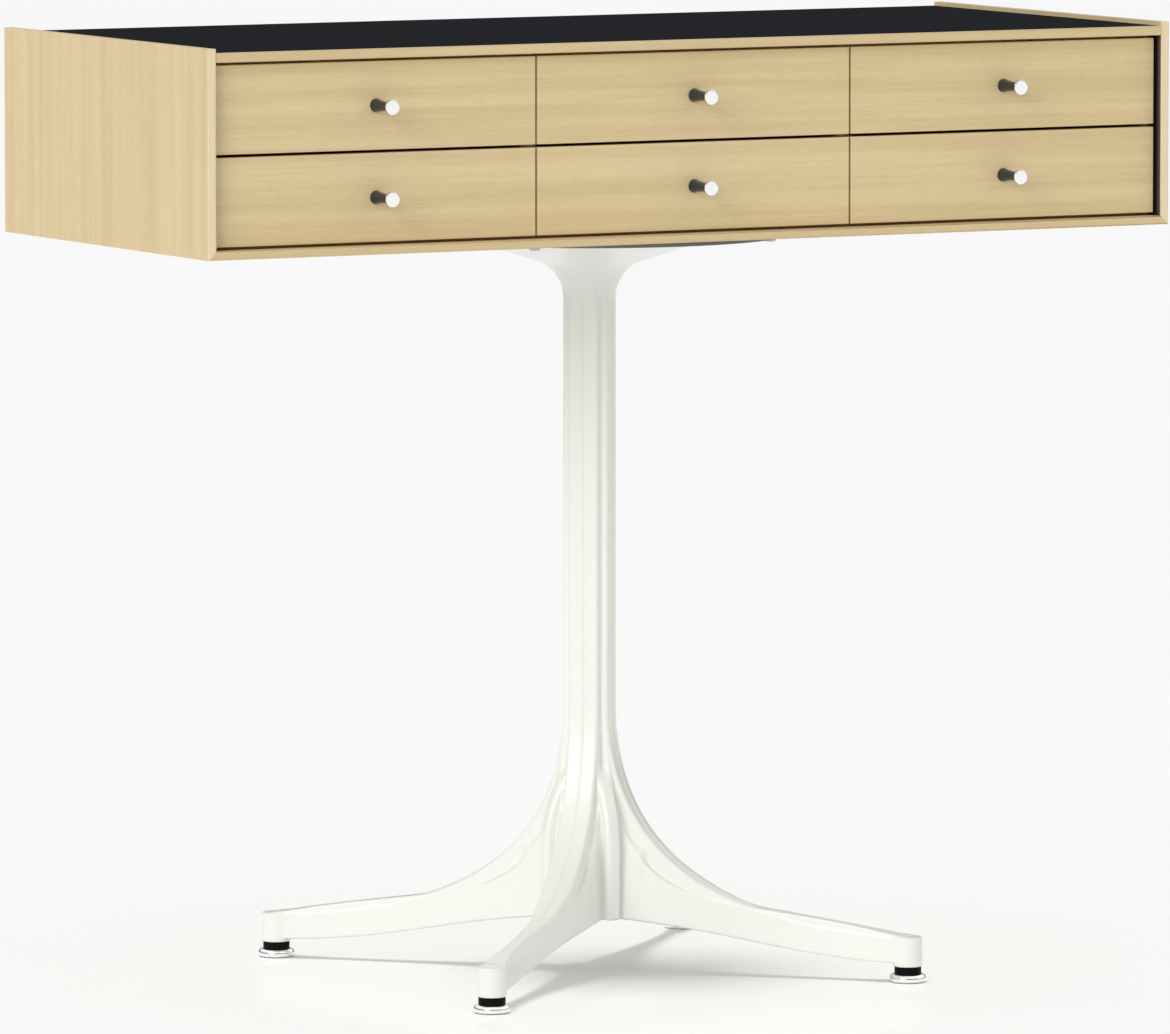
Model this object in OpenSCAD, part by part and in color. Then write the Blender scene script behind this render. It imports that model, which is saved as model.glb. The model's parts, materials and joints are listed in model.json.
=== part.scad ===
// Miniature chest: a low wooden case with six drawers in two rows of three,
// carried on a cast pedestal with four swept legs on screw-in glides.
// Units are millimetres. The floor is Z = 0, the pedestal's axis is the Z axis,
// the drawer fronts face -Y and +X is to the right of someone facing them.

/* [Case] */
// Width of the case over its side panels
case_w = 762; // [700:1:840]
// Depth of the case from its front edges to its back
case_d = 323; // [290:1:380]
// Height of the side panels
case_h = 144.3; // [138:0.1:170]
// Height of the case's underside above the floor
base_h = 529.4; // [470:0.1:600]
// Thickness of the case's panels behind their thin edges
board_t = 13; // [11:0.5:14]
// Thickness that the side and bottom panels show at their edges
edge_t = 6.2; // [5:0.1:7.5]
// Thickness that the top panel shows at its front edge
top_edge_t = 6.7; // [6:0.1:8]
// How far the side panels stand above the black top
side_rise = 2.85; // [1:0.05:5]
// Thickness of the black laminate let into the top
laminate_t = 1; // [0.6:0.1:1.5]
// Width of the wooden edging in front of the laminate
edging_w = 3; // [2:0.5:6]
// Thickness of the back panel
back_t = 6; // [4:0.5:9]
// Gap round the back panel and the laminate
panel_fit = 0.2; // [0.1:0.05:0.4]
// Thickness of the two upright dividers
divider_t = 12; // [10:0.5:16]

/* [Drawer fronts] */
// Thickness of a drawer front
front_t = 12; // [10:0.5:15]
// How far the fronts sit behind the case's front edges
front_recess = 7.2; // [4:0.1:10]
// Gap above, below and at the outer ends of the fronts
front_gap = 2.1; // [1.5:0.1:3]
// Gap between fronts that are side by side
column_gap = 1.7; // [1.2:0.1:3]
// Gap between a closed front and the divider that stops it
stop_gap = 0.3; // [0.2:0.1:1]

/* [Drawer boxes] */
// Thickness of a drawer box's sides and back
box_wall = 10; // [9:0.5:12]
// Gap between a drawer box and the panels on each side of it
box_side_gap = 1; // [0.6:0.1:2]
// Gap under the lower drawer boxes
box_floor_gap = 1; // [0.6:0.1:2]
// Height left free between an upper box and the one below it
box_row_gap = 15.2; // [12:0.1:22]
// Gap between a closed drawer box and the back panel
box_rear_gap = 8; // [4:0.5:20]
// Thickness of a drawer's plywood bottom
ply_t = 4; // [3:0.5:5]
// Height of the plywood above the lower edge of the drawer sides
ply_lift = 6; // [4:0.5:8]
// Depth of the grooves that hold the plywood
ply_groove = 4; // [3:0.5:4.5]
// Gap round the plywood in its grooves
ply_fit = 0.1; // [0.05:0.05:0.3]

/* [Runners] */
// Height of a wooden runner
runner_h = 9; // [7:0.5:11]
// How far a runner reaches into the groove of a drawer side
runner_reach = 4; // [3:0.25:4.5]
// Gap above and below a runner in its groove
runner_play = 0.3; // [0.2:0.05:0.6]
// Gap between a runner and the bottom of its groove
runner_end_play = 0.5; // [0.3:0.1:0.8]
// Distance from a divider's front edge to the runners
runner_setback = 10; // [5:1:30]

/* [Knobs] */
// How far a knob stands out from its drawer front
knob_len = 24.8; // [18:0.1:32]
// Radius of a knob's flat head
knob_head_r = 5.3; // [4.5:0.1:8]
// Thickness of a knob's head
knob_head_t = 2; // [1:0.1:3]
// Radius of a knob's neck
knob_neck_r = 3; // [2.8:0.1:4]
// Radius of a knob's foot against the front
knob_foot_r = 4.9; // [4.2:0.1:7]
// Radius of a knob's stem just past its foot
knob_stem_r = 3.5; // [3.2:0.1:4.2]
// Length of the flare at a knob's foot
knob_flare = 2.5; // [1.5:0.25:5]
// Radius of the screw that holds a knob
knob_screw_r = 2; // [1.5:0.25:2.25]
// Radius of the screw's head inside the drawer
knob_screw_head_r = 4; // [3.5:0.25:5.5]
// Height of the screw's head
knob_screw_head_h = 2.6; // [1.8:0.1:3.2]
// How far the screw goes into the knob
knob_thread = 8; // [6:0.5:10]
// Radial gap round a screw in the hole it is driven into
thread_fit = 0.05; // [0.03:0.01:0.1]
// Radial gap round a screw in the hole it passes through
screw_fit = 0.25; // [0.1:0.05:0.5]

/* [Column and flange] */
// Distance from the axis to the face of a column rib
column_r = 17; // [15:0.5:22]
// Half the width of a column rib
rib_half_w = 11; // [8:0.1:12]
// Radius of the hollow between two column ribs
rib_hollow_r = 2.5; // [2:0.5:5]
// Radius of the rounded edges of a column rib
rib_edge_r = 2; // [1:0.25:2.5]
// Radius of the flange's rim
rim_r = 88; // [80:1:110]
// Thickness of the flange at its rim
rim_t = 2.2; // [1.5:0.1:4]
// How far the flange's neck stands out past the column's corners
neck_step = 0.1; // [0.1:0.1:3]
// Length of the flange's straight neck
neck_len = 4; // [2:0.5:15]
// Radius of the flange's concave throat
throat_r = 25; // [20:1:28]
// Rise of the flange from throat to rim, in degrees
rim_rise = 18; // [12:1:18]
// Radius of the steel disc between flange and case
disc_r = 141; // [139:1:155]
// Thickness of the steel disc
disc_t = 4.4; // [4:0.1:6]

/* [Legs] */
// Distance from the axis to the centre of each glide
foot_r = 235; // [210:1:260]
// Height at which a leg's crest leaves the column
crest_top = 190; // [170:1:230]
// Height of a leg's crest at its foot
crest_foot = 30.5; // [29:0.5:38]
// Height of the hub's underside
hub_under = 38; // [32:0.5:46]
// Height of a leg's underside near its foot
leg_under = 12; // [11.5:0.1:15]
// Half the width of a leg at the hub
hub_half_w = 14.5; // [12:0.5:18]
// Radius of the upright hollow between two legs
hub_hollow_r = 17; // [10:1:20]
// Distance from the axis to the face of the upright post between two legs
post_reach = 37.8; // [34:0.2:40]
// Half the width of the post between two legs
post_half_w = 5.7; // [4:0.1:8]
// Half the width of a leg at its narrowest, near the foot
leg_half_w = 4.8; // [4:0.1:7]
// Height at which a leg's flank begins beside the column
flank_top = 125; // [110:1:140]
// Radius of the round boss at a leg's end
boss_r = 10.3; // [9:0.1:13]

/* [Glides] */
// Radius of a glide's chromed pad
pad_r = 13; // [11:0.5:16]
// Height of the chromed pad
pad_h = 5.9; // [4.5:0.1:8]
// Radius of the rounding of the pad's edges
pad_round = 2; // [1:0.25:2.2]
// Radius of the black collar
collar_r = 9.5; // [8:0.25:11]
// Height of the black collar
collar_h = 4.9; // [3:0.1:7]
// Gap between the collar and the boss with the glide screwed home
glide_gap = 0.3; // [0.2:0.05:0.5]
// Radius of a glide's threaded stem
stem_r = 4; // [3:0.25:5]
// Length of the stem above the collar
stem_len = 15; // [12:0.5:16]
// Clearance above the stem in its hole
stem_clear = 1; // [0.5:0.25:1.5]

/* [Fastenings] */
// Radius of the bolt that joins the flange and the column
core_bolt_r = 6; // [5:0.5:7]
// Radius of that bolt's head
core_head_r = 9; // [8:0.5:10.5]
// Height of that bolt's head
core_head_h = 12; // [8:0.5:14]
// How far that bolt goes into the column
core_thread = 36; // [20:1:60]
// Radius of the circle of screws from disc to flange
disc_screw_pcr = 56; // [50:1:60]
// Radius of a screw from disc to flange
disc_screw_r = 3; // [2:0.25:3.5]
// Radius of that screw's countersunk head
disc_head_r = 5.6; // [5:0.1:6.5]
// How far that screw goes into the flange
disc_screw_deep = 6; // [4:0.5:7]
// Radius of the circle of screws from disc to case
case_screw_pcr = 133; // [112:1:134]
// Number of screws from disc to case
case_screws = 4; // [4:2:12]
// Radius of a screw from disc to case
case_screw_r = 2.25; // [1.75:0.25:2.75]
// Radius of that screw's pan head
case_head_r = 4.2; // [3.8:0.1:5.5]
// Height of that screw's pan head
case_head_h = 2.4; // [1.8:0.1:3]
// How far that screw goes into the bottom panel
case_screw_deep = 9; // [6:0.5:10]
// Distance of the back panel's outer screws from its corners
back_screw_edge = 28; // [20:1:45]
// Radius of a countersunk screw that holds the back panel
back_screw_r = 1.6; // [1.25:0.05:1.75]
// Radius of that screw's head
back_head_r = 3.2; // [2.8:0.1:3.6]
// How far that screw goes into a divider or a panel
back_screw_deep = 14; // [10:1:20]

/* [Hidden] */
$fn = 64;
ROWS = ["lower", "upper"];
COLUMNS = ["left", "middle", "right"];
CORNERS = ["front_right", "back_right", "back_left", "front_left"];
CORNER_ANGLES = [-45, 45, 135, 225];
DRAWERS = [for (r = ROWS, c = COLUMNS) str(r, "_", c)];

wood = "#dcc79c";
front_wood = "#d3bd90";
box_wood = "#dfcda6";
black = "#2a2b2e";
white_enamel = "#f3f3ee";
chrome = "#c8cacc";
steel = "#8f9294";

// A hair's breadth that cuts run past the faces they open through.
eps = 0.01;

// Case
half_w = case_w / 2;
front_y = -case_d / 2;
rear_y = case_d / 2;
case_top = base_h + case_h;
black_z = case_top - side_rise;
lip_in = half_w - edge_t;
core_in = half_w - board_t;
mouth_low = base_h + edge_t;
mouth_high = black_z - top_edge_t;
inside_low = base_h + board_t;
inside_high = black_z - board_t;
lip_d = front_recess + front_t + stop_gap;
core_front = front_y + lip_d;
core_rear = rear_y - back_t;

// Drawer fronts
front_w = (2 * lip_in - 2 * front_gap - 2 * column_gap) / 3;
front_h = (mouth_high - mouth_low - 3 * front_gap) / 2;
column_pitch = front_w + column_gap;
row_pitch = front_h + front_gap;
front_face = front_y + front_recess;
front_back = front_face + front_t;

// Drawer boxes
box_h = row_pitch - box_row_gap;
box_rear = core_rear - box_rear_gap;
box_len = box_rear - front_back;
groove_d = runner_reach + runner_end_play;
groove_h = runner_h + 2 * runner_play;

// Pedestal
boss_under = pad_h + collar_h + glide_gap;
disc_low = base_h - disc_t;
rim_low = disc_low - rim_t;
neck_r = norm([column_r, rib_half_w]) + neck_step;
throat_x = neck_r + throat_r;
throat_end_r = throat_x - throat_r * sin(rim_rise);
throat_end_z = rim_low - (rim_r - throat_end_r) * tan(rim_rise);
throat_z = throat_end_z - throat_r * cos(rim_rise);
column_top = throat_z - neck_len;
flange_h = disc_low - column_top;
hub_join = hub_half_w + hub_hollow_r;

function column_x(c) = (c - 1) * column_pitch;
function front_z(r) = mouth_low + front_gap + r * row_pitch;
function knob_z(r) = front_z(r) + front_h / 2;
function box_z(r) = inside_low + box_floor_gap + r * row_pitch;
function runner_z(r) = box_z(r) + box_h / 2;
// The faces that a column of drawer boxes runs between.
function bay_left(c) = c == 0 ? -core_in : (c - 1.5) * column_pitch + divider_t / 2;
function bay_right(c) = c == 2 ? core_in : (c - 0.5) * column_pitch - divider_t / 2;
function box_left(c) = bay_left(c) + box_side_gap;
function box_right(c) = bay_right(c) - box_side_gap;

// Points along a cubic curve with end points a and d and handles b and c.
function curve(a, b, c, d, steps = 16) =
    [for (i = [0:steps]) let (t = i / steps, s = 1 - t)
        s * s * s * a + 3 * s * s * t * b + 3 * s * t * t * c + t * t * t * d];
function flipped(points) = [for (i = [len(points) - 1:-1:0]) points[i]];
function mirrored(points) = [for (p = flipped(points)) [p[0], -p[1]]];

// A box given by its lowest and highest corners.
module block(low, high) translate(low) cube(high - low);

// An outline in the X-Z plane, drawn out along Y.
module along_y(low, high) translate([0, high, 0]) rotate([90, 0, 0])
    linear_extrude(high - low) children();

// ---------------------------------------------------------------- case

module side_panel() color(wood) difference() {
    along_y(front_y, rear_y) polygon([
        [half_w, base_h], [half_w, case_top], [lip_in, case_top], [lip_in, mouth_high],
        [core_in, mouth_high], [core_in, inside_low]]);
    for (y = [[front_y - eps, core_front], [core_rear, rear_y + eps]])
        block([core_in - eps, y[0], mouth_low], [lip_in, y[1], mouth_high + eps]);
    back_screw_holes();
}

module side_panel_right() side_panel();

module side_panel_left() mirror([1, 0, 0]) side_panel();

module bottom_panel() color(wood) difference() {
    along_y(front_y, rear_y) polygon([
        [-half_w, base_h], [half_w, base_h], [core_in, inside_low], [-core_in, inside_low]]);
    for (y = [[front_y - eps, core_front], [core_rear, rear_y + eps]])
        block([-half_w, y[0], mouth_low], [half_w, y[1], inside_low + eps]);
    at_case_screws() translate([0, 0, base_h - eps])
        cylinder(h = case_screw_deep + 1, r = case_screw_r + thread_fit);
    back_screw_holes();
}

module top_panel() color(wood) difference() {
    union() {
        block([-lip_in, front_y, mouth_high], [lip_in, rear_y, black_z]);
        block([-core_in, core_front, inside_high], [core_in, core_rear, mouth_high]);
    }
    block([-lip_in - eps, front_y + edging_w, black_z - laminate_t],
          [lip_in + eps, rear_y + eps, black_z + eps]);
    back_screw_holes();
}

module top_laminate() color(black)
    block([-lip_in + panel_fit, front_y + edging_w + panel_fit, black_z - laminate_t],
          [lip_in - panel_fit, rear_y, black_z]);

module back_panel() color(wood) difference() {
    block([-lip_in + panel_fit, core_rear, mouth_low + panel_fit],
          [lip_in - panel_fit, rear_y, mouth_high - panel_fit]);
    at_back_screws() {
        translate([0, 0, -1]) cylinder(h = back_t + 2, r = back_screw_r + screw_fit);
        translate([0, 0, -eps]) cylinder(h = back_head_h + eps,
            r1 = back_head_r + screw_fit + eps, r2 = back_screw_r + screw_fit);
    }
}

module dividers() color(wood) difference() {
    for (side = [-1, 1]) translate([side * column_pitch / 2, 0, 0])
        block([-divider_t / 2, core_front, inside_low], [divider_t / 2, core_rear, inside_high]);
    back_screw_holes();
}

module drawer_runners() color(box_wood)
    for (r = [0, 1], c = [0:2], side = [-1, 1]) {
        wall = side < 0 ? bay_left(c) : bay_right(c);
        tip = wall - side * (box_side_gap + runner_reach);
        block([min(wall, tip), core_front + runner_setback, runner_z(r) - runner_h / 2],
              [max(wall, tip), core_rear, runner_z(r) + runner_h / 2]);
    }

// The back panel's screws: along its edges and into both dividers.
edge_x = (core_in + lip_in) / 2;
edge_z = [(mouth_low + inside_low) / 2, (mouth_high + inside_high) / 2];
inner_z = [inside_low + back_screw_edge, inside_high - back_screw_edge];
back_screws = concat(
    [for (x = [-edge_x, -column_pitch / 2, column_pitch / 2, edge_x], z = inner_z) [x, z]],
    [for (x = [-core_in + back_screw_edge, 0, core_in - back_screw_edge], z = edge_z) [x, z]]);
back_head_h = back_head_r - back_screw_r;

module at_back_screws() for (at = back_screws)
    translate([at[0], rear_y, at[1]]) rotate([90, 0, 0]) children();

module back_screw_holes() at_back_screws()
    cylinder(h = back_t + back_screw_deep + 1, r = back_screw_r + thread_fit);

module back_panel_screws() color(steel) at_back_screws() union() {
    translate([0, 0, screw_fit]) cylinder(h = back_head_h, r1 = back_head_r, r2 = back_screw_r);
    translate([0, 0, 1]) cylinder(h = back_t + back_screw_deep - 1, r = back_screw_r);
}

// ------------------------------------------------------------- drawers

module drawer_front(r, c) color(front_wood) difference() {
    block([column_x(c) - front_w / 2, front_face, front_z(r)],
          [column_x(c) + front_w / 2, front_back, front_z(r) + front_h]);
    at_knob(r, c) translate([0, 0, -front_t - eps])
        cylinder(h = front_t + 2 * eps, r = knob_screw_r + screw_fit);
}

module drawer_sides(r, c) color(box_wood) {
    side_board(box_left(c), 1, r);
    side_board(box_right(c), -1, r);
}

// One side of a drawer box, with its outer face at x and the drawer towards dir.
module side_board(x, dir, r) translate([x, 0, box_z(r)]) scale([dir, 1, 1]) difference() {
    block([0, front_back, 0], [box_wall, box_rear, box_h]);
    block([-eps, front_back - eps, (box_h - groove_h) / 2],
          [groove_d, box_rear + eps, (box_h + groove_h) / 2]);
    block([box_wall - ply_groove, front_back - eps, ply_lift],
          [box_wall + eps, box_rear + eps, ply_lift + ply_t + 2 * ply_fit]);
}

module drawer_back(r, c) color(box_wood)
    block([box_left(c) + box_wall, box_rear - box_wall, box_z(r) + ply_lift + ply_t + ply_fit],
          [box_right(c) - box_wall, box_rear, box_z(r) + box_h]);

module drawer_bottom(r, c) color(box_wood) {
    inset = box_wall - ply_groove + ply_fit;
    block([box_left(c) + inset, front_back, box_z(r) + ply_lift + ply_fit],
          [box_right(c) - inset, box_rear, box_z(r) + ply_lift + ply_t + ply_fit]);
}

// Stands children on a drawer front, at its knob, with +Z pointing out.
module at_knob(r, c) translate([column_x(c), front_face, knob_z(r)]) rotate([90, 0, 0])
    children();

knob_profile = concat(
    [[0, 0], [knob_foot_r, 0]],
    curve([knob_foot_r, 0.6], [knob_stem_r + 0.1, knob_flare * 0.6],
          [knob_stem_r, knob_flare * 2], [knob_neck_r, knob_len - knob_head_t - 3.5], 8),
    curve([knob_neck_r, knob_len - knob_head_t - 3], [knob_neck_r, knob_len - knob_head_t - 1],
          [knob_neck_r + 0.6, knob_len - knob_head_t], [knob_head_r, knob_len - knob_head_t], 6),
    [[knob_head_r, knob_len - 0.3], [knob_head_r - 0.3, knob_len], [0, knob_len]]);

module knob(r, c) color(chrome) at_knob(r, c) difference() {
    rotate_extrude() polygon(knob_profile);
    translate([0, 0, -eps]) cylinder(h = knob_thread + 1, r = knob_screw_r + thread_fit);
}

module knob_screw(r, c) color(steel) at_knob(r, c) union() {
    translate([0, 0, -front_t - knob_screw_head_h])
        cylinder(h = knob_screw_head_h, r = knob_screw_head_r);
    translate([0, 0, -front_t - 0.5])
        cylinder(h = front_t + knob_thread + 0.5, r = knob_screw_r);
}

// ------------------------------------------------------------ pedestal

// A leg in side view: distance from the axis and height.
crest = curve([column_r, crest_top], [column_r, crest_top * 0.45],
              [foot_r * 0.386, crest_foot + 4.7], [foot_r, crest_foot], 20);
flank = curve([hub_half_w * 1.5, flank_top], [hub_half_w * 1.5, flank_top * 0.6],
              [foot_r * 0.389, crest_foot + 8.7], [foot_r, crest_foot], 20);
under_steps = 16;
under_span = foot_r - boss_r;
underside = [for (i = [0:under_steps]) let (x = under_span * i / under_steps)
    [x, leg_under + (hub_under - leg_under) * (1 + cos(180 * x / under_span)) / 2]];

// A leg in plan: half its width against distance from the axis.
leg_waist_x = foot_r * 0.766;
leg_plan = concat(
    [[0, hub_half_w]],
    curve([hub_join, hub_half_w], [foot_r * 0.32, hub_half_w],
          [foot_r * 0.45, leg_half_w + 0.2], [leg_waist_x, leg_half_w], 12),
    curve([leg_waist_x + 2, leg_half_w], [foot_r * 0.87, leg_half_w],
          [foot_r * 0.92, boss_r * 0.7], [foot_r - boss_r * 0.6, boss_r * 0.8], 6),
    [[foot_r, boss_r * 0.8]]);

// The tent of metal that runs down from the column between the legs.
web_profile = concat(
    [[0, hub_under], [0, crest_top * 0.95]],
    curve([column_r * 0.75, crest_top * 0.95], [column_r * 0.9, flank_top],
          [hub_join * 0.7, flank_top * 0.8], [hub_join * 1.45, flank_top * 0.68], 10),
    [[hub_join * 1.45, hub_under]]);

module each_leg() for (angle = CORNER_ANGLES) rotate(angle) children();

// An outline of distance and height, drawn out across a leg.
module across_leg(half) translate([0, half, 0]) rotate([90, 0, 0])
    linear_extrude(2 * half) children();

module leg_outline() polygon(concat(leg_plan, mirrored(leg_plan)));

module hub_outline() {
    each_leg() leg_outline();
    each_leg() difference() {
        square(hub_join);
        translate([hub_join, hub_join]) circle(r = hub_hollow_r);
    }
    each_leg() rotate(45) intersection() {
        translate([0, -post_half_w]) square([post_reach, 2 * post_half_w]);
        translate([post_reach - post_half_w * 1.5, 0]) scale([1.5, 1.25]) circle(r = post_half_w);
    }
}

module column_outline() {
    difference() {
        union() {
            for (turn = [0, 90]) rotate(turn)
                square([2 * column_r, 2 * (rib_half_w - rib_edge_r)], center = true);
            for (turn = [0, 90]) rotate(turn)
                square([2 * (column_r - rib_edge_r), 2 * rib_half_w], center = true);
            for (x = [-1, 1], y = [-1, 1], turn = [0, 90]) rotate(turn)
                translate([x * (column_r - rib_edge_r), y * (rib_half_w - rib_edge_r)])
                    circle(r = rib_edge_r);
            square(2 * (rib_half_w + rib_hollow_r), center = true);
        }
        for (turn = [0:90:270]) rotate(turn)
            translate([1, 1] * (rib_half_w + rib_hollow_r)) circle(r = rib_hollow_r);
    }
}

module pedestal_casting() color(white_enamel) difference() {
    union() {
        translate([0, 0, hub_under]) rotate(45)
            linear_extrude(column_top - hub_under) column_outline();
        each_leg() intersection() {
            across_leg(rib_half_w) polygon(concat(crest, flipped(underside),
                [[0, crest_top]]));
            linear_extrude(crest_top) leg_outline();
        }
        each_leg() intersection() {
            across_leg(hub_half_w) polygon(concat(flank, flipped(underside),
                [[0, flank_top]]));
            linear_extrude(flank_top) leg_outline();
        }
        intersection() {
            rotate_extrude() polygon(web_profile);
            translate([0, 0, hub_under]) linear_extrude(crest_top) hub_outline();
        }
        each_leg() translate([foot_r, 0, boss_under])
            cylinder(h = crest_foot - boss_under, r = boss_r);
    }
    each_leg() translate([foot_r, 0, boss_under - eps])
        cylinder(h = glide_gap + stem_len + stem_clear, r = stem_r + thread_fit);
    translate([0, 0, column_top - core_thread - 2])
        cylinder(h = core_thread + 3, r = core_bolt_r + thread_fit);
}

module top_flange() color(white_enamel) difference() {
    rotate_extrude() difference() {
        polygon([[0, column_top], [neck_r, column_top], [neck_r, throat_z], [throat_x, throat_z],
                 [throat_end_r, throat_end_z], [rim_r, rim_low], [rim_r, disc_low],
                 [0, disc_low]]);
        translate([throat_x, throat_z]) circle(r = throat_r, $fn = 128);
    }
    translate([0, 0, column_top - eps])
        cylinder(h = flange_h + 1, r = core_bolt_r + screw_fit);
    translate([0, 0, disc_low - core_head_h])
        cylinder(h = core_head_h + 1, r = core_head_r + screw_fit);
    at_flange_screws() translate([0, 0, disc_low - disc_screw_deep - 1])
        cylinder(h = disc_screw_deep + 2, r = disc_screw_r + thread_fit);
}

module column_bolt() color(steel) union() {
    translate([0, 0, disc_low - core_head_h]) cylinder(h = core_head_h - 1, r = core_head_r);
    translate([0, 0, column_top - core_thread])
        cylinder(h = core_thread + flange_h - core_head_h + 1, r = core_bolt_r);
}

module at_flange_screws() each_leg() translate([disc_screw_pcr, 0, 0]) children();

module at_case_screws() for (i = [0:case_screws - 1]) rotate(360 * (i + 0.5) / case_screws)
    translate([case_screw_pcr, 0, 0]) children();

disc_head_h = disc_head_r - disc_screw_r;

module mounting_disc() color(steel) difference() {
    translate([0, 0, disc_low]) cylinder(h = disc_t, r = disc_r, $fn = 128);
    at_flange_screws() {
        translate([0, 0, disc_low - eps])
            cylinder(h = disc_t + 1, r = disc_screw_r + screw_fit);
        translate([0, 0, base_h - disc_head_h])
            cylinder(h = disc_head_h + eps, r1 = disc_screw_r + screw_fit,
                     r2 = disc_head_r + screw_fit);
    }
    at_case_screws() translate([0, 0, disc_low - eps])
        cylinder(h = disc_t + 1, r = case_screw_r + screw_fit);
}

module flange_screws() color(steel) at_flange_screws() union() {
    translate([0, 0, base_h - disc_head_h - screw_fit])
        cylinder(h = disc_head_h, r1 = disc_screw_r, r2 = disc_head_r);
    translate([0, 0, disc_low - disc_screw_deep])
        cylinder(h = disc_screw_deep + 2, r = disc_screw_r);
}

module case_screws() color(steel) at_case_screws() union() {
    translate([0, 0, disc_low - case_head_h]) cylinder(h = case_head_h, r = case_head_r);
    translate([0, 0, disc_low - 1])
        cylinder(h = 1 + disc_t + case_screw_deep, r = case_screw_r);
}

module glide_pad(angle) color(chrome) rotate(angle) translate([foot_r, 0, 0])
    rotate_extrude() {
        square([pad_r - pad_round, pad_h]);
        translate([0, pad_round]) square([pad_r, pad_h - 2 * pad_round]);
        for (z = [pad_round, pad_h - pad_round])
            translate([pad_r - pad_round, z]) circle(r = pad_round, $fn = 24);
    }

module glide_stem(angle) color(black) rotate(angle) translate([foot_r, 0, pad_h]) union() {
    cylinder(h = collar_h, r = collar_r);
    cylinder(h = collar_h + glide_gap + stem_len, r = stem_r);
}

// --------------------------------------------------------------- nodes

side_panel_left();
side_panel_right();
top_panel();
top_laminate();
bottom_panel();
back_panel();
dividers();
drawer_runners();
back_panel_screws();
pedestal_casting();
top_flange();
column_bolt();
mounting_disc();
flange_screws();
case_screws();
for (i = [0:3]) {
    glide_pad(CORNER_ANGLES[i]);
    glide_stem(CORNER_ANGLES[i]);
}
for (r = [0, 1], c = [0:2]) {
    place = str(ROWS[r], "_", COLUMNS[c]);
    drawer_front(r, c);
    drawer_sides(r, c);
    drawer_back(r, c);
    drawer_bottom(r, c);
    knob(r, c);
    knob_screw(r, c);
}
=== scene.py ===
"""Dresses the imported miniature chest: veneered case and drawers, turned knobs, and a cast pedestal.

Lengths are in metres, but for the casting's, which are in millimetres. The drawer fronts face -Y
and the floor is at Z = 0.
"""

import json
import math

import bmesh
import bpy
import numpy as np
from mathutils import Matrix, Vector

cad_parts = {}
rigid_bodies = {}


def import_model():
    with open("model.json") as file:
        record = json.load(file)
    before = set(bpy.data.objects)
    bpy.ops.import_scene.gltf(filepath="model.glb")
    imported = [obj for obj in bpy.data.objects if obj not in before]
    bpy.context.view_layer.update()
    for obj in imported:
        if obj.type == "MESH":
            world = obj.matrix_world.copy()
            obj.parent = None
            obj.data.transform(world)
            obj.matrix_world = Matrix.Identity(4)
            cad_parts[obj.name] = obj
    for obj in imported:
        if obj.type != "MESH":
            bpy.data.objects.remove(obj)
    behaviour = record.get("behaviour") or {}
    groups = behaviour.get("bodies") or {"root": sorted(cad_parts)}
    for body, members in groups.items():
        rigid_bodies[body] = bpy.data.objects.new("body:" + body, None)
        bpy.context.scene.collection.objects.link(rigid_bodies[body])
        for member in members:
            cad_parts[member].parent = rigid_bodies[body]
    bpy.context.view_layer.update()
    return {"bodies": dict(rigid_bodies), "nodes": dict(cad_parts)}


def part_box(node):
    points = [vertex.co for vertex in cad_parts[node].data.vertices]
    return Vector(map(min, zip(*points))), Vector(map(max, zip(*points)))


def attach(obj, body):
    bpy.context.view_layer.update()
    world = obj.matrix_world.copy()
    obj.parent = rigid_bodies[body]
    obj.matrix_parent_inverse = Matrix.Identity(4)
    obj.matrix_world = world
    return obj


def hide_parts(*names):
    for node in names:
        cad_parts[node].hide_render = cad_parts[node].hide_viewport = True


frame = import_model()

bl_info = {
    "name": "Miniature chest",
    "version": (1, 0, 0),
    "blender": (4, 5, 0),
    "location": "View3D > Sidebar > Chest",
    "description": "Builds the visible pieces and finishes of a six-drawer chest on a pedestal",
    "category": "Object",
}

CASE_BODY = "case_and_pedestal"
DRAWERS = [
    row + "_" + column for row in ("lower", "upper") for column in ("left", "middle", "right")]
CORNERS = ["front_right", "back_right", "back_left", "front_left"]
UPRIGHT, UPSIDE_DOWN, FORWARD = (0.0, 0.0, 0.0), (math.pi, 0.0, 0.0), (math.pi / 2, 0.0, 0.0)
MM = 1000.0  # the casting is worked out in millimetres


# ------------------------------------------------------------------ settings


def number_setting(name, description, default, **more):
    return bpy.props.FloatProperty(name=name, description=description, default=default, **more)


def length_setting(name, description, default):
    return number_setting(
        name, description, default, min=0.0, subtype="DISTANCE", unit="LENGTH", precision=5)


def angle_setting(name, description, degrees):
    return number_setting(
        name, description, math.radians(degrees), subtype="ANGLE", unit="ROTATION")


def colour_setting(name, description, default):
    return bpy.props.FloatVectorProperty(
        name=name, description=description, default=default, min=0.0, max=1.0, size=3,
        subtype="COLOR")


def setting_names(group):
    return [key for key in group.bl_rna.properties.keys() if key not in ("rna_type", "name")]


class ChestWoodSizes(bpy.types.PropertyGroup):
    """Sizes of the woodwork's details."""

    arris: length_setting("Arris", "Width of the rounding on a panel's edges", 0.0004)
    front_bevel: length_setting("Front bevel", "Width of the bevels on the case's front", 0.0011)
    drawer_bevel: length_setting("Drawer bevel", "Width of a drawer front's rounding", 0.0006)


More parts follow.
